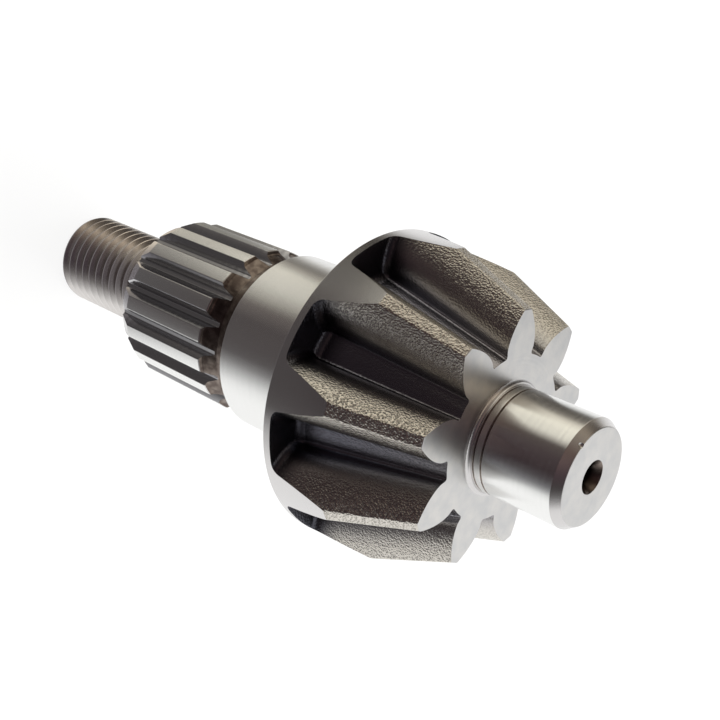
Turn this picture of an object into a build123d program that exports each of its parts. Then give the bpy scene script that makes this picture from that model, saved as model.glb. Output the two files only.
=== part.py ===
from build123d import *
from math import acos, asin, atan, cos, degrees, hypot, pi, radians, sin, tan
import os

# Straight bevel pinion shaft, forged, turned, splined, threaded and ground from one bar of steel.
# Millimetres. The shaft stands on its threaded end: +Z runs up it to the pilot journal, the
# origin is the middle of the threaded end face, and +X runs through the middle of one bevel
# tooth and of one spline tooth, which are timed to each other.

# Lengths along the shaft, from the threaded end up
thread_length = 26.2
spline_length = 21.1
neck_length = 5.6
main_journal_length = 20.1
gear_length = 23.6
pilot_length = 14.6

# Threaded end: the crest diameter of a 16 x 2 thread
thread_diameter = 15.9
thread_end_chamfer = 1.0
thread_undercut_diameter = 13.4
thread_undercut_width = 1.2

# Involute spline with 30 degree flanks
spline_teeth = 17
spline_module = 1.5
spline_pressure_angle = 30.0
spline_tip_diameter = 27.9
spline_tooth_height = 1.55
spline_tip_land = 2.2
spline_lead_in_depth = 1.15
spline_lead_in_length = 2.6
spline_end_step = 0.6
spline_end_step_length = 0.2

# Neck that the spline runs out into
neck_diameter = 24.5
neck_ramp_length = 2.3

# Main bearing journal, with a fillet where it meets the gear's back face
main_journal_diameter = 29.2
main_journal_chamfer = 0.4
main_journal_fillet = 0.6

# Bevel gear: sizes across the teeth are given in the plane of its back face
gear_teeth = 9
gear_module = 5.0
gear_pressure_angle = 25.0
gear_outside_diameter = 48.0
tooth_thickness = 8.8
tooth_addendum = 5.9
tooth_dedendum = 3.8
tooth_root_fillet = 1.35
tooth_edge_round = 0.55
apex_beyond_pilot = 32.2
shroud_thickness = 1.6
space_end_round = 0.6
gear_back_chamfer = 0.35

# Pilot journal, with two fine grooves either side of a narrow collar at its root
pilot_diameter = 16.0
pilot_chamfer_depth = 0.9
pilot_chamfer_length = 1.3
collar_length = 1.0
groove_width = 0.3
groove_depth = 0.2
pilot_root_fillet = 0.7

# Centre holes that the shaft was turned and ground on
centre_mouth_diameter = 4.9
centre_drill_diameter = 2.5
centre_cone_angle = 60.0
centre_drill_depth = 2.6
centre_drill_point_angle = 118.0

# How finely an involute, the round at the end of a tooth space and a fillet between two turned
# faces are drawn, and how far a cut runs clear of the metal
flank_points = 7
end_round_steps = 2
turned_fillet_steps = 3
cut_clearance = 1.0

# Heights and radii that follow
spline_bottom = thread_length
spline_top = spline_bottom + spline_length
journal_bottom = spline_top + neck_length
gear_bottom = journal_bottom + main_journal_length
gear_top = gear_bottom + gear_length
shaft_top = gear_top + pilot_length
shroud_top = gear_bottom + shroud_thickness

apex_height = shaft_top + apex_beyond_pilot
back_distance = apex_height - gear_bottom
pitch_radius = gear_module * gear_teeth / 2
tip_radius = pitch_radius + tooth_addendum
root_radius = pitch_radius - tooth_dedendum
outside_radius = gear_outside_diameter / 2
kink_height = apex_height - back_distance * outside_radius / tip_radius

# A straight bevel tooth is the involute tooth of a larger spur gear: the back cone, unrolled,
# whose radius is the pitch radius over the cosine of the pitch angle
pitch_angle = atan(pitch_radius / back_distance)
virtual_pitch_radius = pitch_radius / cos(pitch_angle)
virtual_base_radius = virtual_pitch_radius * cos(radians(gear_pressure_angle))

thread_radius = thread_diameter / 2
undercut_radius = thread_undercut_diameter / 2
spline_tip_radius = spline_tip_diameter / 2
spline_root_radius = spline_tip_radius - spline_tooth_height
neck_radius = neck_diameter / 2
journal_radius = main_journal_diameter / 2
pilot_radius = pilot_diameter / 2
centre_mouth_radius = centre_mouth_diameter / 2
centre_drill_radius = centre_drill_diameter / 2


def involute(angle):
    """Polar angle that an involute has turned through where its pressure angle is the one given."""
    return tan(angle) - angle


def polar(radius, angle):
    return (radius * cos(angle), radius * sin(angle))


def cone_scale(height):
    """Everything on the bevel teeth shrinks towards the apex of the pitch cone."""
    return (apex_height - height) / back_distance


def tip_cone_radius(height):
    return tip_radius * cone_scale(height)


def bevel_flank_point(virtual_radius):
    """Radius and half tooth angle in the back plane, for a point of the virtual spur tooth.

    Lines to the apex carry each point of the back cone to the plane of the gear's back face.
    """
    half_thickness = tooth_thickness / (2 * virtual_pitch_radius)
    at_pitch = involute(radians(gear_pressure_angle))
    half_angle = half_thickness + at_pitch - involute(acos(virtual_base_radius / virtual_radius))
    rise = virtual_radius - virtual_pitch_radius
    radius = (pitch_radius + rise * cos(pitch_angle)) / (1 - rise * sin(pitch_angle) / back_distance)
    return radius, half_angle / cos(pitch_angle)


def bevel_flank():
    """Points of one side of a tooth space, as radius and angle from the middle of the space."""
    lean = cos(pitch_angle) + tip_radius * sin(pitch_angle) / back_distance
    run = virtual_pitch_radius + tooth_addendum / lean - virtual_base_radius
    half_pitch = pi / gear_teeth
    flank = []
    for i in range(flank_points):
        # Closer together near the base circle, where the involute curls most
        share = (i / (flank_points - 1)) ** 2
        radius, half_angle = bevel_flank_point(virtual_base_radius + run * share)
        flank.append((radius, half_pitch - half_angle))
    return flank


def moved_in(line, distance):
    """A line of points on the upper side of a space, moved sideways towards its middle."""
    moved = []
    for before, here, after in zip(line[:1] + line[:-1], line, line[1:] + line[-1:]):
        run = after[0] - before[0]
        rise = after[1] - before[1]
        share = distance / hypot(run, rise)
        moved.append((here[0] + rise * share, here[1] - run * share))
    return moved


def rounded(section, corners, radius):
    """The section with a round at each of the corners given."""
    vertices = [section.vertices().sort_by_distance(corner)[0] for corner in corners]
    return fillet(vertices, radius)


def tooth_space_section(height, inset):
    """Section of one bevel tooth space at the height given, drawn in by the inset all round.

    The flanks are short straight runs along the involute, so that each is a row of narrow flats
    that all point at the apex.
    """
    scale = cone_scale(height)
    flank = [(radius * scale, angle) for radius, angle in bevel_flank()]
    upper = moved_in([polar(radius, angle) for radius, angle in flank], inset)
    root = root_radius * scale + inset
    root_upper = polar(root, flank[0][1] - asin(inset / root))
    # Flared over the tooth's land, and closed off beyond the tip cone, where there is no metal
    over_land = (upper[-1][0], upper[-1][1] + 2 * tooth_edge_round)
    beyond_tip = ((tip_radius + cut_clearance) * scale, over_land[1])
    upper_side = [root_upper, *upper, over_land, beyond_tip]
    lower_side = [(x, -y) for x, y in reversed(upper_side)]
    root_lower = lower_side[-1]
    root_arc = ThreePointArc(root_lower, (root, 0), root_upper)
    section = make_face([root_arc, Polyline(*upper_side, *lower_side)])
    tooth_edges = [upper[-1], (upper[-1][0], -upper[-1][1])]
    section = rounded(section, tooth_edges, tooth_edge_round * scale)
    section = rounded(section, [root_upper, root_lower], tooth_root_fillet * scale - inset)
    return Pos(0, 0, height) * section


def tooth_space():
    """One forged tooth space: it tapers to the apex, and ends at the shroud with a rounded edge."""
    sections = []
    for i in range(end_round_steps + 1):
        turn = pi / 2 * i / end_round_steps
        height = shroud_top + space_end_round * (1 - cos(turn))
        sections.append(tooth_space_section(height, space_end_round * (1 - sin(turn))))
    sections.append(tooth_space_section(gear_top + cut_clearance, 0))
    return loft(sections, ruled=True)


def spline_space():
    """One space of the spline, run up from below its end into the neck."""
    reference_radius = spline_module * spline_teeth / 2
    pressure_angle = radians(spline_pressure_angle)
    base_radius = reference_radius * cos(pressure_angle)
    half_pitch = pi / spline_teeth
    tip_half_angle = asin(spline_tip_land / 2 / spline_tip_radius)
    at_tip = involute(acos(base_radius / spline_tip_radius))
    outer_radius = spline_tip_radius + cut_clearance
    start_radius = max(spline_root_radius, base_radius)
    flank = []
    for i in range(flank_points):
        radius = start_radius + (outer_radius - start_radius) * i / (flank_points - 1)
        half_angle = tip_half_angle + at_tip - involute(acos(base_radius / radius))
        flank.append((radius, half_pitch - half_angle))
    upper = [polar(radius, angle) for radius, angle in flank]
    lower = [polar(radius, -angle) for radius, angle in flank]
    root_angle = flank[0][1]
    root_upper = polar(spline_root_radius, root_angle)
    root_lower = polar(spline_root_radius, -root_angle)
    outline = [
        ThreePointArc(root_lower, (spline_root_radius, 0), root_upper),
        Spline(*upper),
        Line(upper[-1], lower[-1]),
        Spline(*reversed(lower)),
    ]
    if start_radius > spline_root_radius:
        outline.append(Line(root_upper, upper[0]))
        outline.append(Line(lower[0], root_lower))
    run = spline_length + neck_length / 2 + cut_clearance
    return Pos(0, 0, spline_bottom - cut_clearance) * extrude(make_face(outline), run)


def turned_fillet(middle_radius, middle_height, size, start_angle, end_angle):
    """Profile points of a hollow round in a turned corner, as short straight bands."""
    points = []
    for i in range(turned_fillet_steps + 1):
        angle = radians(start_angle + (end_angle - start_angle) * i / turned_fillet_steps)
        points.append((middle_radius + size * cos(angle), middle_height + size * sin(angle)))
    return points


def turned_blank():
    """The whole shaft as it leaves the lathe and the grinder, before teeth and spline."""
    step_top = spline_top + spline_end_step_length
    thread_top = thread_length - thread_undercut_width
    journal_root = (journal_radius + main_journal_fillet, gear_bottom - main_journal_fillet)
    pilot_root = (pilot_radius + pilot_root_fillet, gear_top + pilot_root_fillet)
    collar_bottom = pilot_root[1] + groove_width
    collar_top = collar_bottom + collar_length
    groove_radius = pilot_radius - groove_depth
    outline = Polyline(
        (0, 0),
        (thread_radius - thread_end_chamfer, 0),
        (thread_radius, thread_end_chamfer),
        (thread_radius, thread_top - (thread_radius - undercut_radius)),
        (undercut_radius, thread_top),
        (undercut_radius, spline_bottom),
        (spline_tip_radius - spline_lead_in_depth, spline_bottom),
        (spline_tip_radius, spline_bottom + spline_lead_in_length),
        (spline_tip_radius, spline_top),
        (spline_tip_radius - spline_end_step, step_top),
        (neck_radius, step_top + neck_ramp_length),
        (neck_radius, journal_bottom),
        (journal_radius - main_journal_chamfer, journal_bottom),
        (journal_radius, journal_bottom + main_journal_chamfer),
        *turned_fillet(*journal_root, main_journal_fillet, 180, 90),
        (outside_radius - gear_back_chamfer, gear_bottom),
        (outside_radius, gear_bottom + gear_back_chamfer),
        (outside_radius, kink_height),
        (tip_cone_radius(gear_top), gear_top),
        *turned_fillet(*pilot_root, pilot_root_fillet, 270, 180),
        (groove_radius, collar_bottom - groove_width / 2),
        (pilot_radius, collar_bottom),
        (pilot_radius, collar_top),
        (groove_radius, collar_top + groove_width / 2),
        (pilot_radius, collar_top + groove_width),
        (pilot_radius, shaft_top - pilot_chamfer_length),
        (pilot_radius - pilot_chamfer_depth, shaft_top),
        (0, shaft_top),
        close=True,
    )
    return revolve(Plane.XZ * make_face(outline), Axis.Z)


def centre_hole():
    """A centre drill's hole below the origin: 60 degree seat, then a small drilled pilot."""
    seat_depth = (centre_mouth_radius - centre_drill_radius) / tan(radians(centre_cone_angle / 2))
    point_depth = centre_drill_radius / tan(radians(centre_drill_point_angle / 2))
    drill_bottom = seat_depth + centre_drill_depth
    outline = Polyline(
        (0, 0),
        (centre_mouth_radius, 0),
        (centre_drill_radius, -seat_depth),
        (centre_drill_radius, -drill_bottom),
        (0, -drill_bottom - point_depth),
        close=True,
    )
    return revolve(Plane.XZ * make_face(outline), Axis.Z)


def gear_shaft():
    shaft = turned_blank()
    half_pitch = 180 / gear_teeth
    space = tooth_space()
    shaft = shaft - [Rot(0, 0, half_pitch + 360 * i / gear_teeth) * space for i in range(gear_teeth)]
    half_pitch = 180 / spline_teeth
    space = spline_space()
    shaft = shaft - [Rot(0, 0, half_pitch + 360 * i / spline_teeth) * space for i in range(spline_teeth)]
    shaft = shaft - Pos(0, 0, shaft_top) * centre_hole()
    shaft = shaft - Rot(180, 0, 0) * centre_hole()
    return shaft


os.makedirs("parts", exist_ok=True)
part = gear_shaft()
export_step(part, "parts/gear_shaft.step")
print("pitch angle", round(degrees(pitch_angle), 2), "overall length", round(shaft_top, 2))
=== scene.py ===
from math import acos, asin, atan, cos, hypot, pi, radians, sin, tan

import bmesh
import bpy
from mathutils import Matrix, Vector


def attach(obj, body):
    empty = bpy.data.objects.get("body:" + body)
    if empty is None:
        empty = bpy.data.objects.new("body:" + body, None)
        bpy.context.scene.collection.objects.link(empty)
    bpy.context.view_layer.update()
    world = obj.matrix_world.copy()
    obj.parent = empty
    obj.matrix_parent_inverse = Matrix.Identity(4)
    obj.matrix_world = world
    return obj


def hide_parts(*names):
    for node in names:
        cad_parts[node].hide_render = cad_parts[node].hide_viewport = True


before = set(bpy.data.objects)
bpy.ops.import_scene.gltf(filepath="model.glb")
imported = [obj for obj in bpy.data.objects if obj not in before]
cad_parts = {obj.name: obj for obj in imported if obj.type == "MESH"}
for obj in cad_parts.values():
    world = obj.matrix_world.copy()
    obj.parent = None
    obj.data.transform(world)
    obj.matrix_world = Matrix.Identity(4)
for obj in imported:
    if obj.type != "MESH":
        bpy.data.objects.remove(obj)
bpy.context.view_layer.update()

# The blank: one piece of case-hardening steel, hot forged with its gear head, then turned between
# centres everywhere but in its tooth spaces. It stands on its threaded end, and its axis is Z.
# Sizes are in millimetres until the shaft is whole.
MM = 0.001
thread_length = 26.2
spline_length = 21.1
neck_length = 5.6
main_journal_length = 20.1
gear_length = 23.6
pilot_length = 14.6
spline_bottom = thread_length
spline_top = spline_bottom + spline_length
journal_bottom = spline_top + neck_length
gear_bottom = journal_bottom + main_journal_length
gear_top = gear_bottom + gear_length
shaft_top = gear_top + pilot_length

thread_radius = 7.95
thread_end_chamfer = 1.0
undercut_radius = 6.7
undercut_width = 1.2
spline_tip_radius = 13.95
lead_in_depth = 1.15
lead_in_length = 2.6
end_step = 0.6
end_step_length = 0.2
neck_radius = 12.25
neck_ramp_length = 2.3
run_out_round = 1.1
journal_radius = 14.6
journal_chamfer = 0.4
journal_fillet = 0.6
outside_radius = 24.0
back_chamfer = 0.35
tip_radius = 28.4
apex_height = shaft_top + 32.2
back_distance = apex_height - gear_bottom
kink_height = apex_height - back_distance * outside_radius / tip_radius
toe_radius = tip_radius * (apex_height - gear_top) / back_distance
pilot_radius = 8.0
pilot_chamfer_depth = 0.9
pilot_chamfer_length = 1.3
collar_length = 1.0
groove_width = 0.3
groove_depth = 0.2
pilot_root_fillet = 0.7
centre_mouth_radius = 2.45
centre_drill_radius = 1.25
centre_seat_angle = radians(30)
centre_seat_depth = (centre_mouth_radius - centre_drill_radius) / tan(centre_seat_angle)
centre_drill_depth = 2.6
drill_point_angle = radians(59)
centre_point_depth = centre_drill_radius / tan(drill_point_angle)
centre_hole_depth = centre_seat_depth + centre_drill_depth + centre_point_depth
edge_break = 0.18
turned_steps = 270
same_point = 0.0005
least_turn = radians(4)
most_of_side = 0.45


def soften(points, radius, segments=4):
    """The same run of points with its corners rounded, as far as their sides allow."""
    softened = [Vector(points[0])]
    for before, corner, after in zip(points, points[1:], points[2:]):
        corner = Vector(corner)
        back = Vector(before) - corner
        ahead = Vector(after) - corner
        turn = pi - back.angle(ahead)
        if turn < least_turn:
            softened.append(corner)
            continue
        reach = min(radius * tan(turn / 2), most_of_side * min(back.length, ahead.length))
        start = corner + back.normalized() * reach
        end = corner + ahead.normalized() * reach
        for i in range(segments + 1):
            share = i / segments
            softened.append(start.lerp(corner, share).lerp(corner.lerp(end, share), share))
    return softened + [Vector(points[-1])]


def hollow_round(middle_radius, middle_height, size, start_angle, steps=8):
    """A quarter circle that fills the corner between two turned faces."""
    points = []
    for i in range(steps + 1):
        angle = radians(start_angle - 90 * i / steps)
        points.append((middle_radius + size * cos(angle), middle_height + size * sin(angle)))
    return points


def wire(bm, points, closed=False):
    """A line of vertices and edges through the points."""
    verts = [bm.verts.new(point) for point in points]
    pairs = list(zip(verts, verts[1:]))
    if closed:
        pairs.append((verts[-1], verts[0]))
    return verts + [bm.edges.new(pair) for pair in pairs]


def finished(bm, name):
    """Makes the mesh an object, with every face pointing outwards."""
    bmesh.ops.remove_doubles(bm, verts=bm.verts, dist=same_point)
    bmesh.ops.recalc_face_normals(bm, faces=bm.faces)
    mesh = bpy.data.meshes.new(name)
    bm.to_mesh(mesh)
    bm.free()
    piece = bpy.data.objects.new(name, mesh)
    bpy.context.scene.collection.objects.link(piece)
    return piece


step_top = spline_top + end_step_length
thread_neck = thread_length - undercut_width
journal_top = gear_bottom - journal_fillet
pilot_bottom = gear_top + pilot_root_fillet
collar_bottom = pilot_bottom + groove_width
collar_top = collar_bottom + collar_length
spline_end = [
    (spline_tip_radius, spline_top - 2 * end_step),
    (spline_tip_radius, spline_top),
    (spline_tip_radius - end_step, step_top),
    (neck_radius, step_top + neck_ramp_length),
    (neck_radius, journal_bottom - journal_chamfer),
]
profile = [
    (0, centre_hole_depth),
    (centre_drill_radius, centre_seat_depth + centre_drill_depth),
    (centre_drill_radius, centre_seat_depth),
    (centre_mouth_radius, 0),
    (thread_radius - thread_end_chamfer, 0),
    (thread_radius, thread_end_chamfer),
    (thread_radius, thread_neck - (thread_radius - undercut_radius)),
    (undercut_radius, thread_neck),
    (undercut_radius, spline_bottom),
    (spline_tip_radius - lead_in_depth, spline_bottom),
    (spline_tip_radius, spline_bottom + lead_in_length),
    *soften(spline_end, run_out_round),
    (neck_radius, journal_bottom),
    (journal_radius - journal_chamfer, journal_bottom),
    (journal_radius, journal_bottom + journal_chamfer),
    *hollow_round(journal_radius + journal_fillet, journal_top, journal_fillet, 180),
    (outside_radius - back_chamfer, gear_bottom),
    (outside_radius, gear_bottom + back_chamfer),
    (outside_radius, kink_height),
    (toe_radius, gear_top),
    *hollow_round(pilot_radius + pilot_root_fillet, pilot_bottom, pilot_root_fillet, 270),
    (pilot_radius - groove_depth, collar_bottom - groove_width / 2),
    (pilot_radius, collar_bottom),
    (pilot_radius, collar_top),
    (pilot_radius - groove_depth, collar_top + groove_width / 2),
    (pilot_radius, collar_top + groove_width),
    (pilot_radius, shaft_top - pilot_chamfer_length),
    (pilot_radius - pilot_chamfer_depth, shaft_top),
    (centre_mouth_radius, shaft_top),
    (centre_drill_radius, shaft_top - centre_seat_depth),
    (centre_drill_radius, shaft_top - centre_seat_depth - centre_drill_depth),
    (0, shaft_top - centre_hole_depth),
]
bm = bmesh.new()
outline = wire(bm, [(point.x, 0, point.y) for point in soften(profile, edge_break)])
bmesh.ops.spin(bm, geom=outline, axis=(0, 0, 1), angle=2 * pi, steps=turned_steps, use_merge=True)
shaft = finished(bm, "gear_shaft_finished")


def linear(colour):
    """An sRGB hex colour as the linear values that a shader takes."""
    channels = [int(colour[i:i + 2], 16) / 255 for i in (1, 3, 5)]
    return [c / 12.92 if c <= 0.04045 else ((c + 0.055) / 1.055) ** 2.4 for c in channels] + [1]


def add(tree, kind, links=None, values=None, **settings):
    """Adds a node: settings are its properties, values fill its sockets, links join them."""
    made = tree.nodes.new(kind)
    for name, value in settings.items():
        setattr(made, name, value)
    for socket, value in (values or {}).items():
        made.inputs[socket].default_value = value
    for socket, output in (links or {}).items():
        tree.links.new(output, made.inputs[socket])
    return made.outputs


def steel(name, colour, roughness):
    """A steel finish of one colour and gloss, which patterns are then added to."""
    material = bpy.data.materials.new(name)
    material.use_nodes = True
    surface = material.node_tree.nodes["Principled BSDF"].inputs
    surface["Base Color"].default_value = linear(colour)
    surface["Metallic"].default_value = 1
    surface["Roughness"].default_value = roughness
    return material, material.node_tree, surface


def millimetres(tree):
    """The place on the shaft in millimetres."""
    place = add(tree, "ShaderNodeTexCoord")["Object"]
    return add(tree, "ShaderNodeVectorMath", {0: place}, {"Scale": 1 / MM}, operation="SCALE")[0]


def from_axis(tree, place):
    """The distance of a place from the shaft's axis."""
    flat = add(tree, "ShaderNodeVectorMath", {0: place}, {1: (1, 1, 0)}, operation="MULTIPLY")[0]
    return add(tree, "ShaderNodeVectorMath", {0: flat}, operation="LENGTH")["Value"]


def tool_marks(tree, a_millimetre):
    """Fine rings round the axis, as a tool leaves on faces and on cylinders alike."""
    place = millimetres(tree)
    radius = from_axis(tree, place)
    height = add(tree, "ShaderNodeSeparateXYZ", {0: place})["Z"]
    feed = add(tree, "ShaderNodeMath", {0: radius, 1: height}, operation="ADD")[0]
    return add(tree, "ShaderNodeTexNoise", {"W": feed}, {"Scale": a_millimetre, "Detail": 2.0},
               noise_dimensions="1D")[0]


def give(piece, material, chosen=None):
    """Gives a finish to the faces that are chosen by their radius and height; returns its slot."""
    piece.data.materials.append(material)
    slot = len(piece.data.materials) - 1
    for face in piece.data.polygons:
        if chosen and chosen(hypot(face.center.x, face.center.y), face.center.z):
            face.material_index = slot
    return slot


# Skimmed steel: the outside diameter, the gear's back, the chamfers and the fillets, turned with a
# fine feed and blasted lightly after hardening. It reflects clearly but not sharply, and a grain
# 0.2 mm across breaks it up a little.
skimmed_steel, tree, surface = steel("skimmed_steel", "#D8D6D5", 0.22)
place = millimetres(tree)
grain = add(tree, "ShaderNodeTexNoise", {"Vector": place}, {"Scale": 5.0, "Detail": 1.0})[0]
bump = add(tree, "ShaderNodeBump", {"Height": grain}, {"Strength": 0.25, "Distance": 0.02 * MM})[0]
tree.links.new(bump, surface["Normal"])
give(shaft, skimmed_steel)

# Faced steel: the two end faces and the gear's end, turned across and dulled by handling. It is a
# soft light grey, with faint clouds 2 mm across and the tool's rings 0.3 mm apart.
faced_steel, tree, surface = steel("faced_steel", "#D4D3D1", 0.31)
place = millimetres(tree)
clouds = add(tree, "ShaderNodeTexNoise", {"Vector": place}, {"Scale": 0.5, "Detail": 4.0})[0]
clouds = add(tree, "ShaderNodeMapRange", {"Value": clouds}, {"From Min": 0.3, "From Max": 0.7})[0]
tint = add(tree, "ShaderNodeMix", {0: clouds}, {6: linear("#CCCCCC"), 7: linear("#DAD8D5")},
           data_type="RGBA")[2]
tree.links.new(tint, surface["Base Color"])
rings = tool_marks(tree, 3.0)
bump = add(tree, "ShaderNodeBump", {"Height": rings}, {"Strength": 0.4, "Distance": 0.02 * MM})[0]
tree.links.new(bump, surface["Normal"])
slot_faced = give(shaft, faced_steel, lambda radius, height: radius > centre_mouth_radius and (
    height < edge_break or height > shaft_top - edge_break
    or abs(height - gear_top) < edge_break and radius > pilot_radius + pilot_root_fillet))

# Oxidised steel: recesses that nothing cleans after hardening keep a brown film, in clouds 1 mm
# across: the centre holes, the fine grooves, the thread undercut, the neck and the spline's run-out.
# Down the centre holes the colour darkens to near black, which is painted shade.
brown_rim = 0.25
black_rim = 0.85
oxidised_steel, tree, surface = steel("oxidised_steel", "#766C66", 0.26)
place = millimetres(tree)
radius = from_axis(tree, place)
clouds = add(tree, "ShaderNodeTexNoise", {"Vector": place}, {"Scale": 0.9, "Detail": 1.5})[0]
clouds = add(tree, "ShaderNodeMapRange", {"Value": clouds}, {"From Min": 0.38, "From Max": 0.68})[0]
tint = add(tree, "ShaderNodeMix", {0: clouds}, {6: linear("#685D57"), 7: linear("#8F847C")},
           data_type="RGBA")[2]
# Painted shade: the colour goes to near black down inside the centre holes.
hole_shade = add(tree, "ShaderNodeMapRange", {"Value": radius}, {
    "From Min": centre_mouth_radius - brown_rim, "From Max": centre_mouth_radius - black_rim},
    interpolation_type="SMOOTHSTEP")[0]
tint = add(tree, "ShaderNodeMix", {0: hole_shade, 6: tint}, {7: linear("#14110F")},
           data_type="RGBA")[2]
tree.links.new(tint, surface["Base Color"])
bump = add(tree, "ShaderNodeBump", {"Height": clouds}, {"Strength": 0.3, "Distance": 0.05 * MM})[0]
tree.links.new(bump, surface["Normal"])
give(shaft, oxidised_steel, lambda radius, height: (
    radius < centre_mouth_radius
    or thread_neck < height < spline_bottom - edge_break and radius < thread_radius
    or spline_top < height < journal_bottom - edge_break
    or pilot_bottom < height < collar_top + groove_width and radius < pilot_radius - groove_depth / 10))

# The tooth spaces of the bevel gear: forged to size in a die and never machined. Each is an
# involute space that shrinks towards the apex of the pitch cone and stops square at the shroud.
gear_teeth = 9
pitch_radius = 22.5
gear_pressure_angle = radians(25)
tooth_thickness = 8.8
tooth_addendum = 5.9
root_radius = 18.7
tooth_root_fillet = 1.35
tooth_edge_round = 0.6
tooth_edge_flare = 0.75
tooth_edge_lift = 0.012
shroud_thickness = 1.6
space_end_round = 1.1
space_end_reach = 2
shroud_top = gear_bottom + shroud_thickness
pitch_angle = atan(pitch_radius / back_distance)
virtual_pitch_radius = pitch_radius / cos(pitch_angle)
virtual_base_radius = virtual_pitch_radius * cos(gear_pressure_angle)
flank_points = 14
beyond = 1.2


def involute(angle):
    """The polar angle at which an involute has this pressure angle."""
    return tan(angle) - angle


def bevel_flank(outer_virtual_radius):
    """One side of a tooth space in the plane of the gear's back face, root end first."""
    flank = []
    for i in range(flank_points):
        share = (i / (flank_points - 1)) ** 2
        virtual_radius = virtual_base_radius + (outer_virtual_radius - virtual_base_radius) * share
        half_thickness = tooth_thickness / (2 * virtual_pitch_radius)
        here = acos(virtual_base_radius / virtual_radius)
        half_angle = half_thickness + involute(gear_pressure_angle) - involute(here)
        rise = virtual_radius - virtual_pitch_radius
        radius = pitch_radius + rise * cos(pitch_angle)
        radius /= 1 - rise * sin(pitch_angle) / back_distance
        flank.append((radius, pi / gear_teeth - half_angle / cos(pitch_angle)))
    return flank


def tooth_space():
    """The cutter that stands for one forged space, in the middle of its own angle."""
    whole = bevel_flank(virtual_pitch_radius + tooth_addendum + beyond)
    flank = [point for point in whole if point[0] < tip_radius]
    # The die rounds the edge between flank and land, so the cutter flares just over the tip cone
    last, after = flank[-1], whole[len(flank)]
    over_tip = tip_radius + tooth_edge_lift
    over_angle = last[1] + (after[1] - last[1]) * (over_tip - last[0]) / (after[0] - last[0])
    flare = over_angle + tooth_edge_flare / over_tip
    half = [(root_radius, 0), (root_radius, flank[0][1])] + flank + [
        (over_tip, over_angle), (over_tip, flare), (over_tip + beyond, flare)]
    half = [(radius * cos(angle), radius * sin(angle)) for radius, angle in half]
    half[-1] = (over_tip + beyond, half[-2][1])
    root_corner = soften(half[:4], tooth_root_fillet, 8)
    corner_end = len(half) - 4
    tip_corner = soften(half[corner_end:corner_end + 3], tooth_edge_round, 5)
    side = root_corner[:-2] + [Vector(point) for point in half[3:corner_end]] + tip_corner[:-1]
    side += [Vector(point) for point in half[corner_end + 2:]]
    outline = [(point.x, point.y, 0) for point in side]
    outline += [(point.x, -point.y, 0) for point in reversed(side[1:])]
    bm = bmesh.new()
    loop = wire(bm, outline, closed=True)
    bottom = bmesh.ops.contextual_create(bm, geom=loop)["faces"]
    bmesh.ops.translate(bm, verts=bm.verts, vec=(0, 0, gear_bottom))
    to_apex = Matrix.Translation((0, 0, -apex_height))
    bottom_scale = (apex_height - shroud_top) / back_distance
    top_scale = (apex_height - gear_top - beyond) / back_distance
    bmesh.ops.scale(bm, verts=bm.verts, vec=(bottom_scale,) * 3, space=to_apex)
    grown = bmesh.ops.extrude_face_region(bm, geom=bottom, use_keep_orig=True)
    raised = [item for item in grown["geom"] if isinstance(item, bmesh.types.BMVert)]
    bmesh.ops.scale(bm, verts=raised, vec=(top_scale / bottom_scale,) * 3, space=to_apex)
    bmesh.ops.recalc_face_normals(bm, faces=bm.faces)
    floor_edges = [edge for edge in bm.edges
                   if all(abs(vert.co.z - shroud_top) < 2 * same_point for vert in edge.verts)
                   and max(vert.co.xy.length for vert in edge.verts) < outside_radius + space_end_reach]
    bmesh.ops.bevel(bm, geom=floor_edges, offset=space_end_round, segments=5, profile=0.5,
                    affect="EDGES", material=-1)
    return bm


def ring_of(cutter, count, name):
    """Copies a cutter round the shaft, at the middles of the spaces."""
    one = bpy.data.meshes.new(name)
    cutter.to_mesh(one)
    cutter.free()
    bm = bmesh.new()
    for i in range(count):
        known = set(bm.verts)
        bm.from_mesh(one)
        fresh = [vert for vert in bm.verts if vert not in known]
        turned = Matrix.Rotation((2 * i + 1) * pi / count, 3, "Z")
        bmesh.ops.rotate(bm, verts=fresh, cent=(0, 0, 0), matrix=turned)
    bpy.data.meshes.remove(one)
    return finished(bm, name)


def cut(piece, cutter, slot):
    """Takes the cutter's metal out of the piece and gives the cut faces the finish in the slot."""
    for face in cutter.data.polygons:
        face.material_index = slot
    boolean = piece.modifiers.new("cut", "BOOLEAN")
    boolean.operation = "DIFFERENCE"
    boolean.solver = "MANIFOLD"
    boolean.material_mode = "INDEX"
    boolean.object = cutter
    evaluated = piece.evaluated_get(bpy.context.evaluated_depsgraph_get())
    result = bpy.data.meshes.new_from_object(evaluated)
    piece.modifiers.remove(boolean)
    piece.data = result
    bpy.data.objects.remove(cutter)


# Forged steel: shot blasted after forging, so it is covered in dents 0.3 mm wide, which sparkle on
# the lit sides and are drawn a little darker at their bottoms. Deep in the spaces, where the shot
# hardly reached, the surface is smoother; there and near the shroud, painted shade darkens the colour
# and turns it bluer.
shroud_shade_length = 4.5
forged_steel, tree, surface = steel("forged_steel", "#DAD6CE", 0.25)
place = millimetres(tree)
radius = from_axis(tree, place)
height = add(tree, "ShaderNodeSeparateXYZ", {0: place})["Z"]
cone = add(tree, "ShaderNodeMapRange", {"Value": height}, {
    "From Min": gear_bottom, "From Max": gear_top, "To Min": tip_radius, "To Max": toe_radius},
    clamp=False)[0]
depth = add(tree, "ShaderNodeMath", {0: cone, 1: radius}, operation="SUBTRACT")[0]
# Painted shade: the colour goes darker and bluer deep in the spaces and near the shroud.
deep_shade = add(tree, "ShaderNodeMapRange", {"Value": depth}, {"From Min": 1.0, "From Max": 9.0},
           interpolation_type="SMOOTHSTEP")[0]
shroud_shade = add(tree, "ShaderNodeMapRange", {"Value": height}, {
    "From Min": shroud_top + shroud_shade_length, "From Max": shroud_top}, interpolation_type="SMOOTHSTEP")[0]
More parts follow.
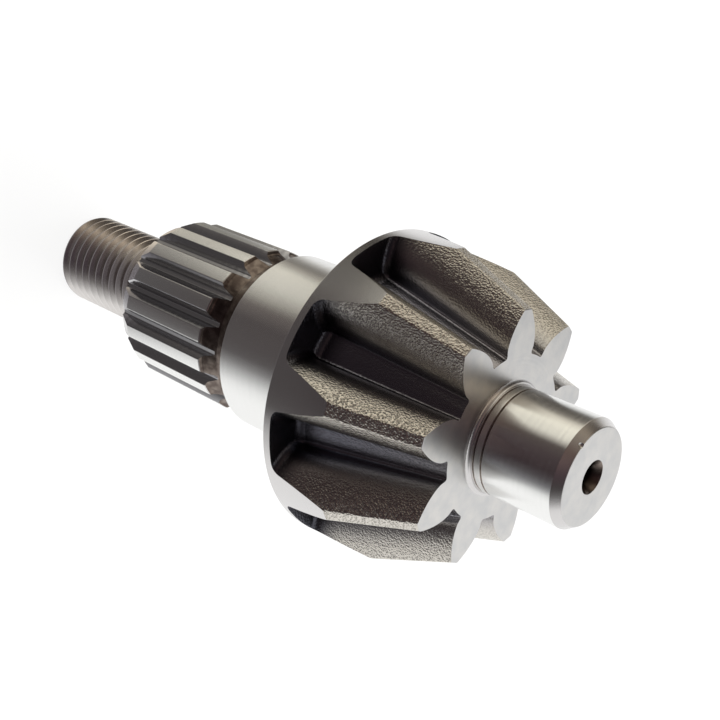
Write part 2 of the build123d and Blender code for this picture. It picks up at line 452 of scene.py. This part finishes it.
tint = add(tree, "ShaderNodeMix", {0: deep_shade}, {6: linear("#DAD5CC"), 7: linear("#90909A")},
           data_type="RGBA")[2]
tint = add(tree, "ShaderNodeMix", {0: shroud_shade, 6: tint}, {7: linear("#53535A")},
           data_type="RGBA")[2]
cells = add(tree, "ShaderNodeTexVoronoi", {"Vector": place}, {"Scale": 3.3},
            feature="F1")["Distance"]
dents = add(tree, "ShaderNodeMapRange", {"Value": cells}, {"From Min": 0.0, "From Max": 0.75},
            interpolation_type="SMOOTHSTEP")[0]
# The dents are drawn a little darker at their bottoms.
dent_darkening = add(tree, "ShaderNodeMapRange", {"Value": dents}, {"To Min": 0.2, "To Max": 0.0})[0]
tint = add(tree, "ShaderNodeMix", {0: dent_darkening, 6: tint}, {7: linear("#2A282A")}, data_type="RGBA")[2]
tree.links.new(tint, surface["Base Color"])
grain = add(tree, "ShaderNodeTexNoise", {"Vector": place}, {"Scale": 4.2, "Detail": 1.0})[0]
relief = add(tree, "ShaderNodeMath", {0: grain, 2: dents}, {1: 1.0}, operation="MULTIPLY_ADD")[0]
strength = add(tree, "ShaderNodeMapRange", {"Value": depth}, {
    "From Min": 0.3, "From Max": 5.0, "To Min": 1.0, "To Max": 0.25})[0]
bump = add(tree, "ShaderNodeBump", {"Height": relief, "Strength": strength},
           {"Distance": 0.07 * MM})[0]
tree.links.new(bump, surface["Normal"])
slot_forged = give(shaft, forged_steel, lambda radius, height: (
    kink_height < height < gear_top - edge_break and radius > pilot_radius + 2 * pilot_root_fillet))
cut(shaft, ring_of(tooth_space(), gear_teeth, "tooth_spaces"), slot_forged)

# The spline: 17 teeth with 30 degree involute flanks, hobbed in the turned blank. The hob runs out
# over the neck, so the teeth end on the blank's ramp.
spline_teeth = 17
spline_pitch_radius = 12.75
spline_pressure_angle = radians(30)
spline_root_radius = 12.4
spline_tip_land = 2.2
spline_root_fillet = 0.35
spline_edge_round = 0.3
spline_edge_flare = 0.3
spline_edge_lift = 0.008
spline_flank_steps = 7


def spline_space():
    """The cutter that stands for the hob in one space, with its flare over the rounded edges."""
    base_radius = spline_pitch_radius * cos(spline_pressure_angle)
    tip_half_angle = asin(spline_tip_land / 2 / spline_tip_radius)
    at_tip = involute(acos(base_radius / spline_tip_radius))
    over_tip = spline_tip_radius + spline_edge_lift
    flank = []
    for i in range(spline_flank_steps + 1):
        radius = spline_root_radius + (over_tip - spline_root_radius) * i / spline_flank_steps
        half_angle = tip_half_angle + at_tip - involute(acos(base_radius / radius))
        flank.append((radius, pi / spline_teeth - half_angle))
    flare = flank[-1][1] + spline_edge_flare / over_tip
    half = [(spline_root_radius, 0)] + flank + [(over_tip, flare), (over_tip + beyond, flare)]
    half = [(radius * cos(angle), radius * sin(angle)) for radius, angle in half]
    root_corner = soften([half[0], half[1], half[3]], spline_root_fillet, 4)
    tip_corner = soften([half[-5], half[-3], half[-2]], spline_edge_round, 3)
    side = root_corner[:-1] + [Vector(point) for point in half[3:-4]] + tip_corner[1:]
    side.append(Vector(half[-1]))
    outline = [(point.x, point.y, spline_bottom - beyond) for point in side]
    outline += [(point.x, -point.y, spline_bottom - beyond) for point in reversed(side[1:])]
    bm = bmesh.new()
    loop = wire(bm, outline, closed=True)
    bottom = bmesh.ops.contextual_create(bm, geom=loop)["faces"]
    grown = bmesh.ops.extrude_face_region(bm, geom=bottom, use_keep_orig=True)
    raised = [item for item in grown["geom"] if isinstance(item, bmesh.types.BMVert)]
    run = spline_length + neck_length / 2 + beyond
    bmesh.ops.translate(bm, verts=raised, vec=(0, 0, run))
    return bm


# Hobbed steel: cut under oil, so it is bright and smooth. The hob leaves shallow scallops along the
# tooth, 1.6 mm apart, which bend the reflections a little.
hobbed_steel, tree, surface = steel("hobbed_steel", "#BDBCBE", 0.18)
place = millimetres(tree)
scallops = add(tree, "ShaderNodeTexWave", {"Vector": place}, {
    "Scale": 0.2, "Distortion": 1.0, "Detail": 2.0}, bands_direction="Z")["Fac"]
bump = add(tree, "ShaderNodeBump", {"Height": scallops}, {"Strength": 0.3, "Distance": 0.02 * MM})[0]
tree.links.new(bump, surface["Normal"])
slot_hobbed = give(shaft, hobbed_steel)
cut(shaft, ring_of(spline_space(), spline_teeth, "spline_spaces"), slot_hobbed)

# The thread: 16 mm with a pitch of 2 mm, right-handed, turned in the blank with a pointed tool in
# many passes, up to the undercut below the spline.
thread_pitch = 2.0
thread_depth = 1.22
thread_flank_angle = radians(30)
crest_flat = 0.22
thread_corner_round = 0.08
thread_end_gap = 0.2
tool_clearance = 0.6
steps_a_turn = 90


def thread_groove():
    """One V groove as a closed helical solid, from below the end face to the undercut."""
    root_flat = thread_pitch - crest_flat - 2 * thread_depth * tan(thread_flank_angle)
    root = thread_radius - thread_depth
    half_mouth = (thread_pitch - crest_flat) / 2
    section = [
        (thread_radius + tool_clearance, half_mouth),
        (thread_radius, half_mouth),
        (root, root_flat / 2),
        (root, -root_flat / 2),
        (thread_radius, -half_mouth),
        (thread_radius + tool_clearance, -half_mouth),
    ]
    section = soften(section, thread_corner_round, 2)
    bm = bmesh.new()
    start = -thread_pitch
    loop = wire(bm, [(point.x, 0, start + point.y) for point in section], closed=True)
    turns = (thread_neck - thread_end_gap - start) / thread_pitch
    steps = round(turns * steps_a_turn)
    bmesh.ops.spin(bm, geom=loop, axis=(0, 0, 1), angle=2 * pi * steps / steps_a_turn, steps=steps,
                   dvec=(0, 0, thread_pitch / steps_a_turn), use_merge=False)
    bmesh.ops.holes_fill(bm, edges=bm.edges, sides=len(section))
    return finished(bm, "thread_groove")


# Threaded steel: bright from the tool, whose last passes leave fine lines along the flanks. They
# are drawn 0.17 mm apart, coarser than the real ones, so that they show.
threaded_steel, tree, surface = steel("threaded_steel", "#DAD6D3", 0.2)
lines = tool_marks(tree, 6.0)
bump = add(tree, "ShaderNodeBump", {"Height": lines}, {"Strength": 0.3, "Distance": 0.01 * MM})[0]
tree.links.new(bump, surface["Normal"])
slot_threaded = give(shaft, threaded_steel, lambda radius, height: (
    0 < height < thread_neck and radius > thread_radius - 2 * edge_break))
cut(shaft, thread_groove(), slot_threaded)

# Ground steel: the two journals and the spline's lands, ground between centres after hardening.
# They are the brightest faces. The wheel's fine lines run round the shaft, so what it reflects is
# drawn out along it in straight bands. They are drawn 0.4 mm apart, coarser than the real ones.
ground_steel, tree, surface = steel("ground_steel", "#F5F5F3", 0.2)
lines = tool_marks(tree, 2.5)
rough = add(tree, "ShaderNodeMapRange", {"Value": lines}, {"To Min": 0.19, "To Max": 0.29})[0]
tree.links.new(rough, surface["Roughness"])
bump = add(tree, "ShaderNodeBump", {"Height": lines}, {"Strength": 0.04, "Distance": 0.01 * MM})[0]
tree.links.new(bump, surface["Normal"])
around = add(tree, "ShaderNodeTangent", direction_type="RADIAL", axis="Z")[0]
tree.links.new(around, surface["Tangent"])
surface["Anisotropic"].default_value = 0.9
surface["Anisotropic Rotation"].default_value = 0.25
seat_tolerance = 0.02
give(shaft, ground_steel, lambda radius, height: (
    journal_bottom + journal_chamfer < height < journal_top
    and radius > journal_radius - seat_tolerance
    or pilot_bottom < height < shaft_top - pilot_chamfer_length
    and abs(radius - pilot_radius) < seat_tolerance
    or spline_bottom + lead_in_length < height < spline_top
    and radius > spline_tip_radius - seat_tolerance))

# The nick: a dent under 1 mm long on the inner edge of the pilot's nose chamfer, knocked there in
# handling. It is bare metal, as light as the end face.
nick_radius = 0.55
nick_azimuth = radians(40)
nick_out = pilot_radius - pilot_chamfer_depth + 0.35
nick_height = shaft_top + 0.05
nick_middle = Vector((nick_out * cos(nick_azimuth), nick_out * sin(nick_azimuth), nick_height))
bm = bmesh.new()
bmesh.ops.create_icosphere(bm, subdivisions=3, radius=nick_radius,
                           matrix=Matrix.Translation(nick_middle))
cut(shaft, finished(bm, "nick"), slot_faced)

# The whole shaft: one solid with no joints, brought to its real size in metres. Its edges are crisp
# where the form or the finish changes, and its long faces keep their own shading beside the rounds.
crisp_angle = radians(28)
shaft.data.transform(Matrix.Scale(MM, 4))
shaft.data.shade_smooth()
shaft.data.set_sharp_from_angle(angle=crisp_angle)
bm = bmesh.new()
bm.from_mesh(shaft.data)
for edge in bm.edges:
    if len({face.material_index for face in edge.link_faces}) > 1:
        edge.smooth = False
bm.to_mesh(shaft.data)
bm.free()
rounds = shaft.modifiers.new("rounds", "WEIGHTED_NORMAL")
rounds.weight = 100
rounds.keep_sharp = True
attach(shaft, "root")
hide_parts("gear_shaft")

# The camera: on the pilot's side and above, turned on its own axis so that the shaft lies across
# the picture as it does in the photograph.
camera = bpy.data.objects.new("camera", bpy.data.cameras.new("camera"))
bpy.context.scene.collection.objects.link(camera)
camera.data.sensor_width = 36
camera.data.lens = 58.0
camera.data.clip_start = 0.01
right = Vector((0.13945, -0.66990, 0.72923))
up = Vector((0.93779, -0.14710, -0.31447))
back = Vector((0.31794, 0.72773, 0.60773))
stand = Vector((0.05884, 0.12952, 0.17690))
camera.matrix_world = Matrix((
    (right.x, up.x, back.x, stand.x),
    (right.y, up.y, back.y, stand.y),
    (right.z, up.z, back.z, stand.z),
    (0, 0, 0, 1)))
bpy.context.scene.camera = camera
bpy.context.scene.view_settings.view_transform = "Standard"

# The floor: matt white paper, which shows as white and still keeps the shaft's soft shadow.
floor_reach = 3
floor_glow = 0.85
bm = bmesh.new()
bmesh.ops.create_grid(bm, x_segments=1, y_segments=1, size=floor_reach)
floor = finished(bm, "floor")


def shown_white(tree, kind, plain, camera_share):
    """Plain white for what metal and glass reflect, and a share of it for the camera."""
    path = add(tree, "ShaderNodeLightPath")
    seen = add(tree, "ShaderNodeMath", {0: path["Is Camera Ray"]}, {1: camera_share},
               operation="MULTIPLY")[0]
    seen = add(tree, "ShaderNodeMath", {0: seen, 1: path["Is Glossy Ray"]}, operation="MAXIMUM")[0]
    seen = add(tree, "ShaderNodeMath", {0: seen, 1: path["Is Transmission Ray"]},
               operation="MAXIMUM")[0]
    white = add(tree, kind, values={"Color": (1, 1, 1, 1), "Strength": 1.0})[0]
    return add(tree, "ShaderNodeMixShader", {0: seen, 1: plain, 2: white})[0]


white_paper = bpy.data.materials.new("white_paper")
white_paper.use_nodes = True
floor.data.materials.append(white_paper)
tree = white_paper.node_tree
tree.nodes.clear()
matt = add(tree, "ShaderNodeBsdfDiffuse", values={"Color": linear("#F4F3F0")})[0]
paper = shown_white(tree, "ShaderNodeEmission", matt, floor_glow)
add(tree, "ShaderNodeOutputMaterial", {"Surface": paper})

# The room: white walls all round, which light the floor evenly and show as plain white.
studio = bpy.data.worlds.new("studio")
bpy.context.scene.world = studio
studio.use_nodes = True
tree = studio.node_tree
tree.nodes.clear()
walls = add(tree, "ShaderNodeBackground", values={"Color": (1, 1, 1, 1), "Strength": 0.9})[0]
room = shown_white(tree, "ShaderNodeBackground", walls, 1.0)
add(tree, "ShaderNodeOutputWorld", {"Surface": room})

# The reflectors: graded papers that only the steel sees, in rings on the floor, standing round the
# shaft and overhead. They are white on the far side, dark on the camera's side and cream towards the
# picture's top, so that bright steel shows its form. Their stops are azimuths in degrees and shades.
WHITE = "#FFFFFF"
PAPER_HEIGHT = 0.0005
SCREEN_RADIUS = 0.4
SCREEN_SPLIT = 0.2
SCREEN_TOP = 0.5


def surround(name, run, stops):
    """One ring of paper along a run of radius and height, shaded round the shaft by its stops."""
    bm = bmesh.new()
    outline = wire(bm, [(radius, 0, height) for radius, height in run])
    bmesh.ops.spin(bm, geom=outline, axis=(0, 0, 1), angle=2 * pi, steps=96, use_merge=True)
    ring = finished(bm, name)
    paint = bpy.data.materials.new(name)
    paint.use_nodes = True
    ring.data.materials.append(paint)
    tree = paint.node_tree
    tree.nodes.clear()
    place = add(tree, "ShaderNodeTexCoord")["Object"]
    azimuth = add(tree, "ShaderNodeTexGradient", {0: place}, gradient_type="RADIAL")[1]
    ramp = tree.nodes.new("ShaderNodeValToRGB")
    tree.links.new(azimuth, ramp.inputs[0])
    shades = sorted(((angle + 180) % 360 / 360, shade) for angle, shade in stops)
    band = ramp.color_ramp.elements
    band[0].position, band[0].color = shades[0][0], linear(shades[0][1])
    band[1].position, band[1].color = shades[-1][0], linear(shades[-1][1])
    for position, shade in shades[1:-1]:
        band.new(position).color = linear(shade)
    glow = add(tree, "ShaderNodeEmission", {"Color": ramp.outputs[0]})[0]
    add(tree, "ShaderNodeOutputMaterial", {"Surface": glow})
    ring.visible_camera = False
    ring.visible_diffuse = False
    ring.visible_shadow = False
    ring.visible_transmission = False


surround("paper_under_thread", [(0.008, PAPER_HEIGHT), (0.030, PAPER_HEIGHT)], [
    (150, WHITE), (118, "#98969A"), (90, "#807C80"), (50, "#807C80"), (10, "#A8A098"),
    (340, "#FFF2DC"), (310, "#C0B4A8"), (280, "#D8D8D8")])
surround("paper_under_spline", [(0.030, PAPER_HEIGHT), (0.062, PAPER_HEIGHT)], [
    (150, WHITE), (122, "#B0B0B0"), (108, "#6E6C6C"), (92, "#545050"), (60, "#525050"),
    (38, "#625E5C"), (20, "#8A8782"), (335, "#B9B4A9"), (320, "#827F78"), (300, "#989692"),
    (284, "#F4F4F4"), (272, WHITE)])
surround("paper_by_journal", [(0.062, PAPER_HEIGHT), (0.090, PAPER_HEIGHT)], [
    (136, WHITE), (124, "#D0D0D0"), (112, "#989797"), (101, "#5A5656"), (60, "#4C4644"),
    (42, "#7C746F"), (30, "#C8C4B8"), (10, "#FAF6EA"), (346, "#FFFAEC"), (336, "#B8B2A8"),
    (325, "#78736E"), (315, "#A8A5A0"), (306, "#ECEAE6"), (297, WHITE)])
surround("paper_by_gear", [(0.090, PAPER_HEIGHT), (0.135, PAPER_HEIGHT)], [
    (150, WHITE), (125, "#CCCCCC"), (110, "#585454"), (60, "#545051"), (30, "#4A4546"),
    (0, "#343030"), (330, "#34302E"), (316, "#8C8884"), (303, WHITE)])
surround("paper_by_pilot", [(0.135, PAPER_HEIGHT), (SCREEN_RADIUS, PAPER_HEIGHT)], [
    (150, WHITE), (139, "#F2F3F2"), (129, "#B4B4B6"), (119, "#66666A"), (108, "#484347"),
    (90, "#32272A"), (60, "#4A3F40"), (38, "#5A524E"), (31, "#B4AFA6"), (21, "#F4F0E2"),
    (355, "#FFFAEA"), (341, "#DCD5C6"), (331, "#706A62"), (320, "#4C4844"), (303, "#4C4844"),
    (294, "#CCCCCA"), (284, "#F2F2F2"), (270, WHITE)])
surround("standing_paper", [(SCREEN_RADIUS, PAPER_HEIGHT), (SCREEN_RADIUS, SCREEN_SPLIT)], [
    (150, WHITE), (140, "#D8D8D8"), (125, "#625F5F"), (90, "#3C3436"), (60, "#2C262A"),
    (38, "#3A3434"), (22, "#B8B0A4"), (5, "#F0E8D8"), (340, "#F4ECDC"), (325, "#C0B8AA"),
    (308, "#A09A92"), (290, "#F0F0EE"), (275, WHITE)])
surround("upper_paper", [(SCREEN_RADIUS, SCREEN_SPLIT), (SCREEN_RADIUS, SCREEN_TOP)], [
    (165, WHITE), (150, "#B4B4B4"), (136, "#706E6E"), (120, "#444040"), (90, "#504246"),
    (60, "#705E5C"), (35, "#6C5C54"), (10, "#8C8278"), (345, "#A09484"), (325, "#5E564E"),
    (305, "#383432"), (285, "#5A5653"), (266, "#989898"), (250, WHITE)])
surround("overhead_paper", [(SCREEN_RADIUS, SCREEN_TOP), (0.0001, SCREEN_TOP)], [
    (185, WHITE), (165, "#F0F0F0"), (150, "#C8C8C8"), (135, "#7A7777"), (115, "#484246"),
    (90, "#443C42"), (20, "#544A4A"), (355, "#8A7C70"), (338, "#E6D6C0"), (325, "#D0C0AC"),
    (305, "#94887C"), (285, "#A8A49E"), (260, "#E8E8E6"), (240, WHITE)])

# The lamp: one large soft box high behind the shaft, for the floor's soft shadow. The steel takes its
# light from the papers and doesn't show the lamp.
lamp_azimuth = radians(250)
lamp_elevation = radians(65)
lamp_distance = 1.0
soft_box = bpy.data.lights.new("soft_box", "AREA")
soft_box.size = 0.8
soft_box.energy = 12
lamp = bpy.data.objects.new("soft_box", soft_box)
toward = Vector((cos(lamp_azimuth) * cos(lamp_elevation), sin(lamp_azimuth) * cos(lamp_elevation),
                 sin(lamp_elevation)))
lamp.location = toward * lamp_distance
lamp.rotation_euler = toward.to_track_quat("Z", "Y").to_euler()
lamp.visible_glossy = False
bpy.context.scene.collection.objects.link(lamp)

# Last, the scene is brought up to date.
bpy.context.view_layer.update()
